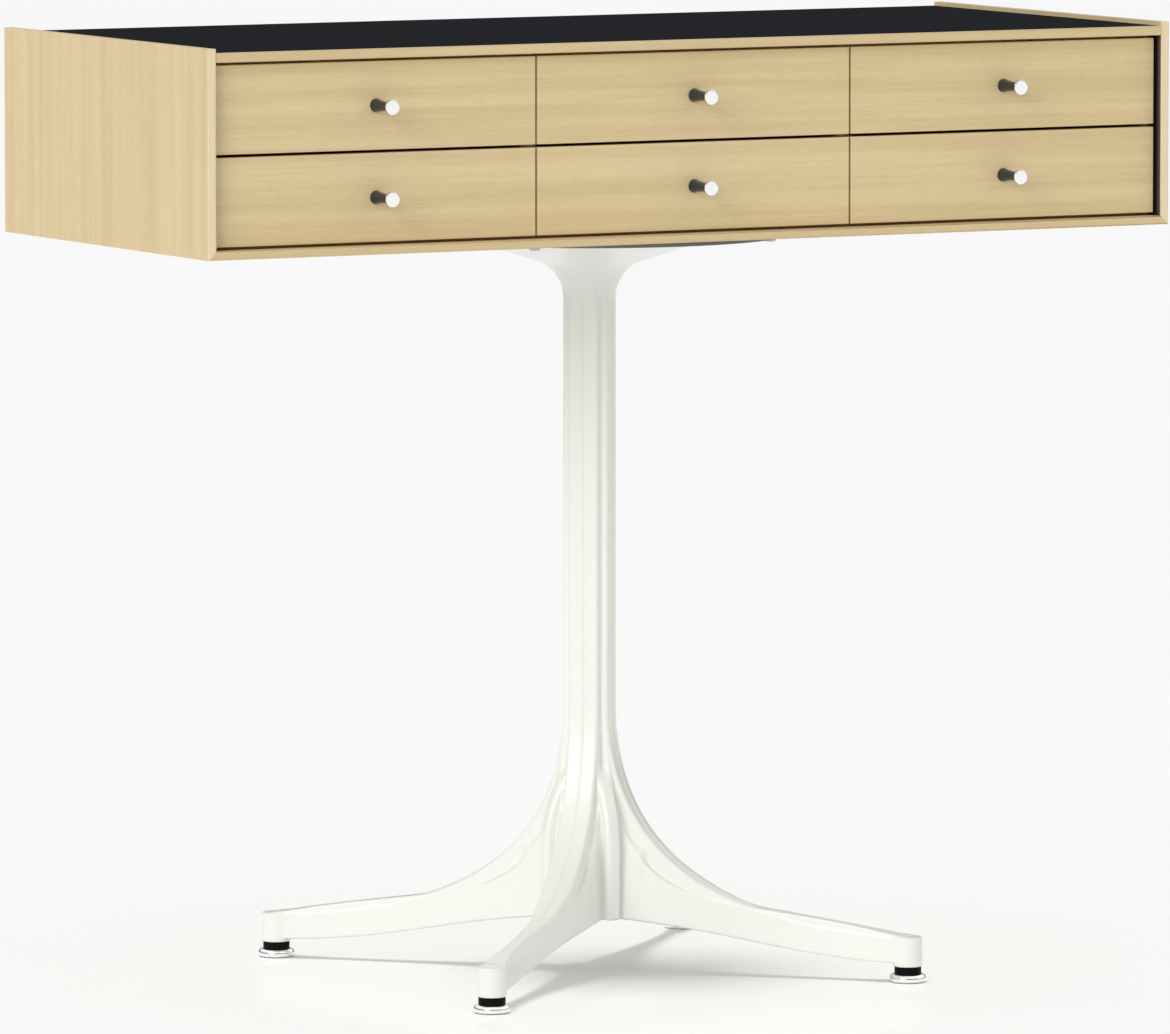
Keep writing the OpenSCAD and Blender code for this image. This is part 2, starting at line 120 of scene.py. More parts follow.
class ChestPedestalSizes(bpy.types.PropertyGroup):
    """Sizes of the cast pedestal."""

    column_face: length_setting("Column face", "Distance from the axis to a rib's face", 0.017)
    rib_half_width: length_setting("Rib half width", "Half the width of a rib", 0.011)
    rib_round: length_setting("Rib rounding", "Radius of a rib's edges", 0.0019)
    hollow: length_setting("Rib hollow", "Radius of the hollow between two ribs", 0.002)
    hub_hollow: length_setting("Hub hollow", "Radius of the hollow between two legs", 0.017)
    hub_half_width: length_setting("Hub half width", "Half a leg's width at the hub", 0.0145)
    post_reach: length_setting(
        "Post reach", "Distance from the axis to the post between two legs", 0.0378)
    post_half_width: length_setting(
        "Post half width", "Half the width of the post between two legs", 0.0057)
    leg_half_width: length_setting(
        "Leg half width", "Half the width of a leg where it is thinnest", 0.0048)
    hub_lift: length_setting(
        "Hub lift", "How far hub and legs are raised above the undersides of the leg ends", 0.0018)
    parting_line: length_setting(
        "Parting line", "Height of the line left by the mould", 0.0006)
    cell: length_setting("Cell", "Size of the cells that the casting is made from", 0.0014)


class ChestTurnedSizes(bpy.types.PropertyGroup):
    """Sizes of the turned metal pieces."""

    knob_foot: length_setting("Knob foot", "Radius of a knob against its drawer front", 0.0049)
    knob_stem: length_setting("Knob stem", "Radius of a knob's stem past its foot", 0.0035)
    knob_neck: length_setting("Knob neck", "Radius of a knob just behind its head", 0.003)
    knob_head: length_setting("Knob head", "Radius of a knob's flat head", 0.0053)
    knob_head_depth: length_setting("Knob head depth", "Thickness of a knob's head", 0.002)
    thread_pitch: length_setting("Thread pitch", "Rise of the glides' thread per turn", 0.00125)
    segments: bpy.props.IntProperty(
        name="Segments", description="Sides of a turned piece", default=64, min=12, max=128)


class ChestFinishes(bpy.types.PropertyGroup):
    """Colours of the finishes."""

    side_light: colour_setting(
        "Side, light", "Light bands of the case's veneer", (0.79, 0.63, 0.365))
    side_dark: colour_setting("Side, dark", "Dark bands of the case's veneer", (0.66, 0.50, 0.265))
    front_light: colour_setting(
        "Front, light", "Light bands of the drawer fronts", (0.845, 0.685, 0.40))
    front_dark: colour_setting(
        "Front, dark", "Dark bands of the drawer fronts", (0.67, 0.515, 0.27))
    # The front edges' pale colour is partly lighter edge wood and partly painted light on the proud
    # edge.
    edge_wood_and_light: colour_setting("Edging", "Front edges of the side panels", (0.90, 0.76, 0.51))
    # Painted shade: the two mouth colours darken the case's inner faces behind its front edge, where
    # shade falls, most by the drawer fronts.
    mouth_painted_shade_edge: colour_setting(
        "Mouth, edge", "Stain of the case's mouth by its front edge", (0.12, 0.10, 0.08))
    mouth: colour_setting(
        "Mouth", "Stain of the case's mouth by the drawer fronts", (0.012, 0.010, 0.009))
    inner_light: colour_setting("Inside, light", "Light bands of bare wood", (0.80, 0.68, 0.47))
    inner_dark: colour_setting("Inside, dark", "Dark bands of bare wood", (0.70, 0.55, 0.35))
    pore: colour_setting("Pore", "Pores of the wood", (0.30, 0.20, 0.10))
    top: colour_setting("Top", "Laminate of the top", (0.017, 0.019, 0.022))
    enamel: colour_setting("Enamel", "Enamel of the pedestal", (0.905, 0.92, 0.865))
    chrome: colour_setting("Chrome", "Chromed glides and knob heads", (0.985, 0.98, 0.975))
    # Painted reflection: the knob stems' chrome is coloured dark for the dark surroundings it
    # mirrors, while the heads keep the bright chrome.
    stem: colour_setting("Knob stem", "Smoked chrome of the knobs' stems", (0.075, 0.09, 0.13))
    collar: colour_setting("Collar", "Black collars of the glides", (0.006, 0.006, 0.007))
    steel: colour_setting("Steel", "Zinc-plated screws", (0.48, 0.49, 0.50))
    plate: colour_setting("Plate", "Dark steel disc under the case", (0.17, 0.17, 0.175))


class ChestStage(bpy.types.PropertyGroup):
    """The floor, the light and the camera."""

    floor: colour_setting("Floor", "Colour of the floor", (0.95, 0.95, 0.95))
    bounce: number_setting(
        "Bounce", "Share of the floor's light that it throws on to the chest", 0.85,
        min=0.0, max=1.0)
    sky: number_setting("Sky", "Strength of the light from above", 0.66, min=0.0)
    horizon: number_setting(
        "Horizon", "Strength of the sky at the horizon, as a share of the light from above", 0.15,
        min=0.0)
    key: number_setting(
        "Key light", "Strength of the light on the chest from the left and front", 1.21, min=0.0)
    key_softness: angle_setting("Key softness", "How wide the key light looks", 35.0)
    fill: number_setting(
        "Fill light", "Strength of the light on the chest from the right", 0.3, min=0.0)
    floor_light: number_setting(
        "Floor light", "Strength of the light on the floor from above", 1.25, min=0.0)
    camera_at: bpy.props.FloatVectorProperty(
        name="Camera", description="Place of the camera", subtype="TRANSLATION", unit="LENGTH",
        default=(-3.81122, -7.08394, 1.09535))
    camera_heading: angle_setting("Heading", "Direction of the camera, from +Y to +X", 28.2577)
    camera_dip: angle_setting("Dip", "How far the camera looks down", 5.4799)
    lens: number_setting(
        "Lens", "Focal length for a film 36 mm wide", 350.034, min=1.0, unit="CAMERA")


# ------------------------------------------------------------- node helpers


def feed(tree, node, values):
    """Links the values that are sockets to the node's inputs and sets the others."""
    for key, value in values.items():
        socket = node.inputs[key]
        if isinstance(value, bpy.types.NodeSocket):
            tree.links.new(value, socket)
        else:
            socket.default_value = value
    return node


def add(tree, kind, values=None, **settings):
    """The outputs of a new node with those settings and inputs."""
    node = tree.nodes.new(kind)
    for key, value in settings.items():
        setattr(node, key, value)
    return feed(tree, node, values or {}).outputs


def calc(tree, operation, *terms):
    return add(tree, "ShaderNodeMath", dict(enumerate(terms)), operation=operation)[0]


def ranged(tree, value, low, high, to_low=0.0, to_high=1.0, kind="LINEAR"):
    """The value carried over from low..high to to_low..to_high, and kept between them."""
    limits = {"From Min": low, "From Max": high, "To Min": to_low, "To Max": to_high}
    return add(
        tree, "ShaderNodeMapRange", {"Value": value, **limits}, interpolation_type=kind)["Result"]


def blend(tree, share, first, second):
    """The first colour where the share is 0, the second where it is 1."""
    return add(tree, "ShaderNodeMix", {0: share, 6: first, 7: second}, data_type="RGBA")[2]


def noise(tree, place, scale, detail, roughness=0.5):
    return add(
        tree, "ShaderNodeTexNoise",
        {"Vector": place, "Scale": scale, "Detail": detail, "Roughness": roughness})["Fac"]


def place_in(tree, kind="Object"):
    return add(tree, "ShaderNodeTexCoord")[kind]


def split(tree, vector):
    return add(tree, "ShaderNodeSeparateXYZ", {0: vector})


def joined(tree, x=0.0, y=0.0, z=0.0):
    return add(tree, "ShaderNodeCombineXYZ", {0: x, 1: y, 2: z})[0]


def node_of(tree, kind):
    return next(n for n in tree.nodes if n.type == kind)


def with_alpha(colour):
    return (*colour, 1.0)


def new_tree(name, kind, inputs, outputs):
    """A node group with those sockets, its inputs and the node that its results go to."""
    tree = bpy.data.node_groups.new(name, kind)
    for side, sockets in (("INPUT", inputs), ("OUTPUT", outputs)):
        for socket, socket_type in sockets:
            tree.interface.new_socket(
                name=socket, in_out=side, socket_type="NodeSocket" + socket_type)
    return tree, add(tree, "NodeGroupInput"), tree.nodes.new("NodeGroupOutput")


def group(name, build):
    """The node group of that name, built the first time it is asked for."""
    return bpy.data.node_groups.get(name) or build(name)


# ------------------------------------------------------------------ finishes


def grain_group(name):
    """Straight-grained veneer: X of Place runs along the grain, in metres."""
    tree, given, put = new_tree(
        name, "ShaderNodeTree",
        [("Place", "Vector"), ("Light", "Color"), ("Dark", "Color"), ("Pore", "Color"),
         ("Pores", "Float")],
        [("Color", "Color"), ("Roughness", "Float"), ("Height", "Float")])

    def streaky(along, across, detail, roughness):
        scale = (along, across, across)
        place = add(
            tree, "ShaderNodeVectorMath", {0: given["Place"], 1: scale}, operation="MULTIPLY")[0]
        return noise(tree, place, 1.0, detail, roughness)

    def graded(value, low, high):
        return ranged(tree, value, low, high, kind="SMOOTHSTEP")

    bands = graded(streaky(0.9, 22.0, 2.0, 0.5), 0.3, 0.7)
    streaks = graded(streaky(3.0, 120.0, 3.0, 0.6), 0.32, 0.68)
    fibres = streaky(30.0, 1500.0, 2.0, 0.6)
    dashes = graded(streaky(110.0, 2600.0, 1.0, 0.5), 0.60, 0.72)
    pores = calc(tree, "MULTIPLY", dashes, given["Pores"])
    tone = calc(tree, "MULTIPLY", bands, 0.30)
    for layer, weight in ((streaks, 0.45), (fibres, 0.25)):
        tone = calc(tree, "ADD", tone, calc(tree, "MULTIPLY", layer, weight))
    colour = blend(tree, tone, given["Light"], given["Dark"])
    feed(tree, put, {
        "Color": blend(tree, pores, colour, given["Pore"]),
        "Roughness": calc(tree, "MULTIPLY_ADD", tone, 0.14, 0.40),
        "Height": calc(tree, "SUBTRACT", calc(tree, "MULTIPLY", fibres, 0.4), pores)})
    return tree


def speckle_group(name):
    """Fine unevenness for painted, moulded and plated surfaces."""
    tree, given, put = new_tree(
        name, "ShaderNodeTree",
        [("Place", "Vector"), ("Grain", "Float"), ("Patch", "Float"), ("Low", "Float"),
         ("High", "Float")],
        [("Roughness", "Float"), ("Height", "Float"), ("Cloud", "Float")])
    cloud = noise(tree, given["Place"], given["Patch"], 0.0)
    feed(tree, put, {
        "Roughness": ranged(tree, cloud, 0.0, 1.0, given["Low"], given["High"]),
        "Height": noise(tree, given["Place"], given["Grain"], 2.0), "Cloud": cloud})
    return tree


def new_finish(name):
    """An empty material with a Principled shader, its tree and the shader."""
    material = bpy.data.materials.new(name)
    material.use_nodes = True
    return material, material.node_tree, node_of(material.node_tree, "BSDF_PRINCIPLED")


def bumped(tree, height, strength, depth):
    return add(
        tree, "ShaderNodeBump", {"Height": height, "Strength": strength, "Distance": depth}
    )["Normal"]


def place_along(tree, along):
    """Object coordinates turned so that X runs along the grain."""
    if along == "X":
        return place_in(tree)
    parts = split(tree, place_in(tree))
    return joined(tree, *(parts[i] for i in {"Y": (1, 0, 2), "Z": (2, 0, 1)}[along]))


def side_panel_colour(tree, colour):
    """The colour with a side panel's pale front edge and painted shade on the faces of the case's
    mouth.

    The pale edge is partly lighter edge wood and partly painted light. The painted shade in the mouth
    reaches from the bevel back to the drawers' boxes, and up to the top panel.
    """
    c = bpy.context.scene.chest_finishes
    face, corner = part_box("side_panel_left")[0].y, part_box("drawer_front_upper_right")[1]
    edge, gap, slack, into_top, darkest = face + 0.0011, 0.0021, 0.0003, 0.004, 0.0065
    x, y, z = split(tree, place_in(tree))
    # A paler front edge: partly lighter edge wood, partly painted light.
    at_edge = ranged(tree, y, edge + slack, edge - 0.0002)
    colour = blend(tree, at_edge, colour, blend(tree, 0.75, colour, with_alpha(c.edge_wood_and_light)))
    # Painted shade on the inner faces of the case's mouth: dark by the front edge, darker towards the
    # drawer fronts.
    inside = calc(tree, "LESS_THAN", calc(tree, "ABSOLUTE", x), corner.x + gap + slack)
    for test, value, limit in (
        ("GREATER_THAN", y, edge), ("LESS_THAN", y, corner.y),
        ("LESS_THAN", z, corner.z + into_top),
    ):
        inside = calc(tree, "MULTIPLY", inside, calc(tree, test, value, limit))
    deep = ranged(tree, y, edge, face + darkest)
    painted_shade = blend(tree, deep, with_alpha(c.mouth_painted_shade_edge), with_alpha(c.mouth))
    return blend(tree, inside, colour, painted_shade)


def wood_finish(name, along, light, dark, pores, coat, side_panel=False):
    """Veneer or solid wood with its grain along X, Y or Z."""
    material, tree, shader = new_finish(name)
    grain = add(
        tree, "ShaderNodeGroup",
        {"Place": place_along(tree, along), "Light": with_alpha(light), "Dark": with_alpha(dark),
         "Pore": with_alpha(bpy.context.scene.chest_finishes.pore), "Pores": pores},
        node_tree=group("Veneer grain", grain_group))
    colour = grain["Color"]
    feed(tree, shader, {
        "Base Color": side_panel_colour(tree, colour) if side_panel else colour,
        "Roughness": grain["Roughness"],
        "Normal": bumped(tree, grain["Height"], 0.25, 0.00012),
        "IOR": 1.45, "Specular IOR Level": 0.35, "Coat Weight": coat, "Coat Roughness": 0.35})
    return material


def uneven_finish(
    name, colour, grain, low, high, bump, metallic=0.0, coat=0.0, gloss=0.5, tint=0.04
):
    """A painted, moulded or plated finish with its roughness between low and high."""
    material, tree, shader = new_finish(name)
    speckle = add(
        tree, "ShaderNodeGroup",
        {"Place": place_in(tree), "Grain": grain, "Patch": 9.0, "Low": low, "High": high},
        node_tree=group("Surface unevenness", speckle_group))
    darker = with_alpha(c * (1.0 - tint) for c in colour)
    feed(tree, shader, {
        "Base Color": blend(tree, speckle["Cloud"], with_alpha(colour), darker),
        "Roughness": speckle["Roughness"], "Normal": bumped(tree, speckle["Height"], 0.3, bump),
        "Metallic": metallic, "Specular IOR Level": gloss, "Coat Weight": coat,
        "Coat Roughness": 0.12})
    return material


def knob_finish(name, head, stem):
    """Chrome with a painted reflection: bright on a knob's head and painted dark on its stem, behind
    the head's rim, for the dark surroundings the stem mirrors.
    """
    material = uneven_finish(name, head, 900.0, 0.015, 0.04, 0.000001, metallic=1.0)
    tree = material.node_tree
    shader = node_of(tree, "BSDF_PRINCIPLED")
    bright = shader.inputs["Base Color"].links[0].from_socket
    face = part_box("knob_lower_left")[0].y
    depth = bpy.context.scene.chest_turned.knob_head_depth
    # The stem's dark colour is a painted reflection; the head keeps the bright chrome.
    share = ranged(
        tree, split(tree, place_in(tree))["Y"], face + depth * 0.35, face + depth * 0.5)
    feed(tree, shader, {"Base Color": blend(tree, share, bright, with_alpha(stem))})
    return material


def finish(name):
    """The finish of that name, made the first time it is asked for."""
    return bpy.data.materials.get(name) or made_finish(name)


def made_finish(name):
    c = bpy.context.scene.chest_finishes
    # the grain's direction, light, dark, share of pores, weight of the lacquer
    woods = {
        "side_grain": ("Z", c.side_light, c.side_dark, 0.16, 0.1, True),
        "case_grain": ("X", c.side_light, c.side_dark, 0.16, 0.1),
        "front_grain": ("X", c.front_light, c.front_dark, 0.2, 0.1),
        "inner_grain_deep": ("Y", c.inner_light, c.inner_dark, 0.1, 0.0),
        "inner_grain_wide": ("X", c.inner_light, c.inner_dark, 0.1, 0.0),
    }
    if name in woods:
        return wood_finish(name, *woods[name])
    if name == "knob_chrome":
        return knob_finish(name, c.chrome, c.stem)
    # colour, grains in a metre, lowest and highest roughness, depth of the grain, the rest
    colour, grain, low, high, bump, more = {
        "matt_laminate": (c.top, 2600.0, 0.7, 0.8, 0.00006, dict(gloss=0.002, tint=0.1)),
        "white_enamel": (
            c.enamel, 160.0, 0.30, 0.36, 0.000008, dict(coat=0.3, gloss=0.4, tint=0.012)),
        "polished_chrome": (c.chrome, 900.0, 0.05, 0.11, 0.000004, dict(metallic=1.0)),
        "black_nylon": (c.collar, 1500.0, 0.45, 0.6, 0.00003, dict(gloss=0.06, tint=0.2)),
        "dark_steel": (c.plate, 700.0, 0.4, 0.5, 0.00001, dict(metallic=0.6, tint=0.15)),
        "plated_steel": (c.steel, 1200.0, 0.25, 0.4, 0.00001, dict(metallic=1.0, tint=0.12)),
    }[name]
    return uneven_finish(name, colour, grain, low, high, bump, **more)


# ----------------------------------------------------------- mesh helpers


def as_object(name, data):
    made = bpy.data.objects.new(name, data)
    bpy.context.scene.collection.objects.link(made)
    return made


def drop(obj):
    """Deletes a helper object and its mesh."""
    mesh = obj.data
    bpy.data.objects.remove(obj)
    if mesh and mesh.users == 0:
        bpy.data.meshes.remove(mesh)


def baked(obj, name):
    """A plain mesh object from obj with its modifiers applied; obj is deleted."""
    view = bpy.context.evaluated_depsgraph_get()
    mesh = bpy.data.meshes.new_from_object(
        obj.evaluated_get(view), preserve_all_data_layers=True, depsgraph=view
    )
    drop(obj)
    mesh.name = name
    return as_object(name, mesh)


def wear(obj, material):
    obj.data.materials.clear()
    obj.data.materials.append(material)
    return obj


def seat(obj, body, slot, *nodes):
    """Puts a finished piece on its body, in place of the nodes it stands for."""
    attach(obj, body)
    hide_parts(*nodes)
    return obj


def softened(node, arris, wide=None, wide_edges=None):
    """A copy of a CAD node with rounded edges.

    Edges for which wide_edges(low, high) holds get the wide bevel, the other long ones the arris.
    """
    name = node + "_piece"
    shape = bmesh.new()
    shape.from_mesh(frame["nodes"][node].data)
    bmesh.ops.remove_doubles(shape, verts=shape.verts, dist=1e-6)
    bmesh.ops.dissolve_limit(
        shape, angle_limit=math.radians(1.0), verts=shape.verts, edges=shape.edges, delimit=set()
    )

    def corners(longer_than):
        return [
            e for e in shape.edges
            if len(e.link_faces) == 2 and e.calc_length() > longer_than
            and e.calc_face_angle(0.0) > math.radians(30.0)]

    def bevel(edges, width, segments):
        bmesh.ops.bevel(
            shape, geom=edges, offset=width, offset_type="OFFSET", segments=segments,
            profile=0.6, affect="EDGES", clamp_overlap=True)

    if wide:
        bevel([
            e for e in corners(0.02)
            if wide_edges(*sorted((v.co.copy() for v in e.verts), key=tuple))], wide, 3)
    bevel(corners(0.003), arris, 2)
    for face in shape.faces:
        face.smooth = True
    mesh = bpy.data.meshes.new(name)
    shape.to_mesh(mesh)
    shape.free()
    mesh.set_sharp_from_angle(angle=math.radians(50.0))
    helper = as_object(name + "_shape", mesh)
    weighted = helper.modifiers.new("Even shading", "WEIGHTED_NORMAL")
    weighted.keep_sharp = True
    return baked(helper, name)


def board(node, body, slot, material, *edges):
    """Seats a CAD board's softened copy, with its grain, in the board's place."""
    return seat(wear(softened(node, *edges), finish(material)), body, slot, node)


def shape_tree(name, *inputs):
    """A geometry node group that takes a shape, those inputs and a material."""
    return new_tree(
        name, "GeometryNodeTree",
        [("Geometry", "Geometry"), *inputs, ("Material", "Material")], [("Geometry", "Geometry")])


def give(tree, given, put, shape):
    """Ends a tree with the shape, its instances made real and its material set."""
    real = add(tree, "GeometryNodeRealizeInstances", {"Geometry": shape})[0]
    coated = add(
        tree, "GeometryNodeSetMaterial", {"Geometry": real, "Material": given["Material"]})[0]
    feed(tree, put, {"Geometry": coated})
    return tree


def turning_tree(name):
    """Turns a profile, X out from the axis and Z along it, into a closed shape."""
    tree, given, put = shape_tree(name, ("Segments", "Int"))
    count = add(
        tree, "GeometryNodeAttributeDomainSize", {"Geometry": given["Geometry"]}, component="MESH"
    )["Point Count"]
    around = calc(tree, "ADD", given["Segments"], 1.0)
    sheet = add(
        tree, "GeometryNodeMeshGrid",
        {"Size X": 1.0, "Size Y": 1.0, "Vertices X": around, "Vertices Y": count})["Mesh"]
    position = add(tree, "GeometryNodeInputPosition")[0]
    across, along, _ = split(tree, position)
    share = calc(tree, "ADD", along, 0.5)
    last = calc(tree, "SUBTRACT", count, 1.0)
    step = calc(tree, "ROUND", calc(tree, "MULTIPLY", share, last))
    picked = add(
        tree, "GeometryNodeSampleIndex",
        {"Geometry": given["Geometry"], "Value": position, "Index": step},
        data_type="FLOAT_VECTOR", domain="POINT")[0]
    radius, _, height = split(tree, picked)
    turn = calc(tree, "MULTIPLY", calc(tree, "ADD", across, 0.5), math.tau)
    x, y = (
        calc(tree, "MULTIPLY", radius, calc(tree, way, turn)) for way in ("COSINE", "SINE"))
    wrapped = add(
        tree, "GeometryNodeSetPosition",
        {"Geometry": sheet, "Position": joined(tree, x, y, height)})[0]
    closed = add(tree, "GeometryNodeMergeByDistance", {"Geometry": wrapped, "Distance": 1e-6})[0]
    return give(tree, given, put, closed)


def copies_tree(name):
    """Stands one piece on every point, all turned the same way."""
    tree, given, put = shape_tree(name, ("Piece", "Object"), ("Turn", "Rotation"))
    piece = add(tree, "GeometryNodeObjectInfo", {"Object": given["Piece"]})["Geometry"]
    stood = add(
        tree, "GeometryNodeInstanceOnPoints",
        {"Points": given["Geometry"], "Instance": piece, "Rotation": given["Turn"]})[0]
    return give(tree, given, put, stood)


def thread_tree(name):
    """Winds a ridge round the stem that comes in."""
    tree, given, put = shape_tree(
        name, *((key, "Float") for key in ("Turns", "Radius", "Length", "Start", "Ridge")))
    spiral = add(
        tree, "GeometryNodeCurveSpiral",
        {"Resolution": 20, "Rotations": given["Turns"], "Start Radius": given["Radius"],
         "End Radius": given["Radius"], "Height": given["Length"]})[0]
    raised = add(
        tree, "GeometryNodeTransform",
        {"Geometry": spiral, "Translation": joined(tree, z=given["Start"])})[0]
    wire = add(
        tree, "GeometryNodeCurvePrimitiveCircle", {"Resolution": 6, "Radius": given["Ridge"]})[0]
    ridge = add(
        tree, "GeometryNodeCurveToMesh",
        {"Curve": raised, "Profile Curve": wire, "Fill Caps": True})[0]
    both_shapes = tree.nodes.new("GeometryNodeJoinGeometry")
    for shape in (ridge, given["Geometry"]):
        tree.links.new(shape, both_shapes.inputs[0])
    return give(tree, given, put, both_shapes.outputs[0])


def shaped_by(obj, tree, name, **values):
    """The mesh that a geometry node tree makes of obj, with the tree's inputs by name."""
    modifier = obj.modifiers.new(tree.name, "NODES")
    modifier.node_group = tree
    for item in tree.interface.items_tree:
        if item.item_type == "SOCKET" and item.in_out == "INPUT" and item.name in values:
            modifier[item.identifier] = values[item.name]
    obj.update_tag()
    bpy.context.view_layer.update()
    return baked(obj, name)


def points_object(name, points, edges=(), faces=()):
    mesh = bpy.data.meshes.new(name)
    mesh.from_pydata([tuple(p) for p in points], list(edges), list(faces))
    return as_object(name, mesh)


def outward(mesh):
    """Turns the faces of closed shells outwards and shades them smooth up to a corner."""
    shape = bmesh.new()
    shape.from_mesh(mesh)
    bmesh.ops.recalc_face_normals(shape, faces=shape.faces)
    for face in shape.faces:
        face.smooth = True
    shape.to_mesh(mesh)
    shape.free()
    mesh.set_sharp_from_angle(angle=math.radians(35.0))


def turned(profile, material):
    """A piece turned from a profile of (radius, height) that starts and ends on the axis."""
    outline = points_object(
        "profile", [(r, 0.0, z) for r, z in profile],
        [(i, i + 1) for i in range(len(profile) - 1)])
    piece = shaped_by(
        outline, group("Turned on a lathe", turning_tree), "turned",
        Segments=bpy.context.scene.chest_turned.segments, Material=material)
    outward(piece.data)
    return piece


def stand(piece, node, points, turn, material, body, slot):
    """Seats copies of a turned piece on the points, in place of a node; piece is deleted."""
    stands = points_object(node + "_points", points)
    made = shaped_by(
        stands, group("Copies on points", copies_tree), node + "_piece",
        Piece=piece, Turn=turn, Material=material)
    drop(piece)
    return seat(made, body, slot, node)


def rounded(profile, radius, steps=3, corners=None):
    """The profile with its inner points rounded, or only those listed in corners."""
    out = []
    for i, point in enumerate(profile):
        if i in (0, len(profile) - 1) or (corners is not None and i not in corners):
            out.append(tuple(point))
            continue
        here, before, after = Vector(point), Vector(profile[i - 1]), Vector(profile[i + 1])
        reach = min(radius, (before - here).length * 0.49, (after - here).length * 0.49)
        first = here + (before - here).normalized() * reach
        second = here + (after - here).normalized() * reach
        for k in range(steps + 1):
            t = k / steps
            out.append(tuple(first * (1 - t) ** 2 + here * 2 * t * (1 - t) + second * t * t))
    return out


def curve(a, b, c, d, steps):
    """Points on a cubic curve with ends a and d and handles b and c."""
    a, b, c, d = (np.array(p, float) for p in (a, b, c, d))
    t = np.linspace(0.0, 1.0, steps + 1)[:, None]
    s = 1.0 - t
    return s**3 * a + 3 * s * s * t * b + 3 * s * t * t * c + t**3 * d


# ------------------------------------------------------ the cast pedestal


class Field:
    """Distance to a closed outline in a plane, looked up from a table; positive outside."""

    def __init__(self, outline, low, high, step=0.75):
        self.low, self.step = np.array(low, float), step
        self.shape = [int(math.ceil((h - l) / step)) + 1 for l, h in zip(low, high)]
        u = low[0] + step * np.arange(self.shape[0])
        v = low[1] + step * np.arange(self.shape[1])
        u, v = np.meshgrid(u, v, indexing="ij")
        near = np.full(u.shape, 1e9)
        inside = np.zeros(u.shape, bool)
        ends = np.array(outline, float)
        for (x0, y0), (x1, y1) in zip(ends, np.roll(ends, -1, axis=0)):
            dx, dy = x1 - x0, y1 - y0
            size = dx * dx + dy * dy
            if size < 1e-12:
                continue
            t = np.clip(((u - x0) * dx + (v - y0) * dy) / size, 0.0, 1.0)
            near = np.minimum(near, (u - x0 - t * dx) ** 2 + (v - y0 - t * dy) ** 2)
            crosses = (y0 > v) != (y1 > v)
            if dy:
                inside ^= crosses & (u < x0 + dx * (v - y0) / dy)
        self.table = np.sqrt(near) * np.where(inside, -1.0, 1.0)

    def __call__(self, u, v):
        gu = np.clip((u - self.low[0]) / self.step, 0, self.shape[0] - 1.001)
        gv = np.clip((v - self.low[1]) / self.step, 0, self.shape[1] - 1.001)
        i, k = gu.astype(int), gv.astype(int)
        fu, fv = gu - i, gv - k
        t = self.table
        return (t[i, k] * (1 - fu) * (1 - fv) + t[i + 1, k] * fu * (1 - fv)
                + t[i, k + 1] * (1 - fu) * fv + t[i + 1, k + 1] * fu * fv)


def both(a, b, radius):
    """What lies in both shapes, with the edge between them rounded."""
    u, v = a + radius, b + radius
    return np.hypot(np.maximum(u, 0), np.maximum(v, 0)) + np.minimum(np.maximum(u, v), 0) - radius


def either(a, b, blend):
    """What lies in one of the shapes, with a fillet between them."""
    h = np.maximum(blend - np.abs(a - b), 0) / blend
    return np.minimum(a, b) - h * h * blend * 0.25


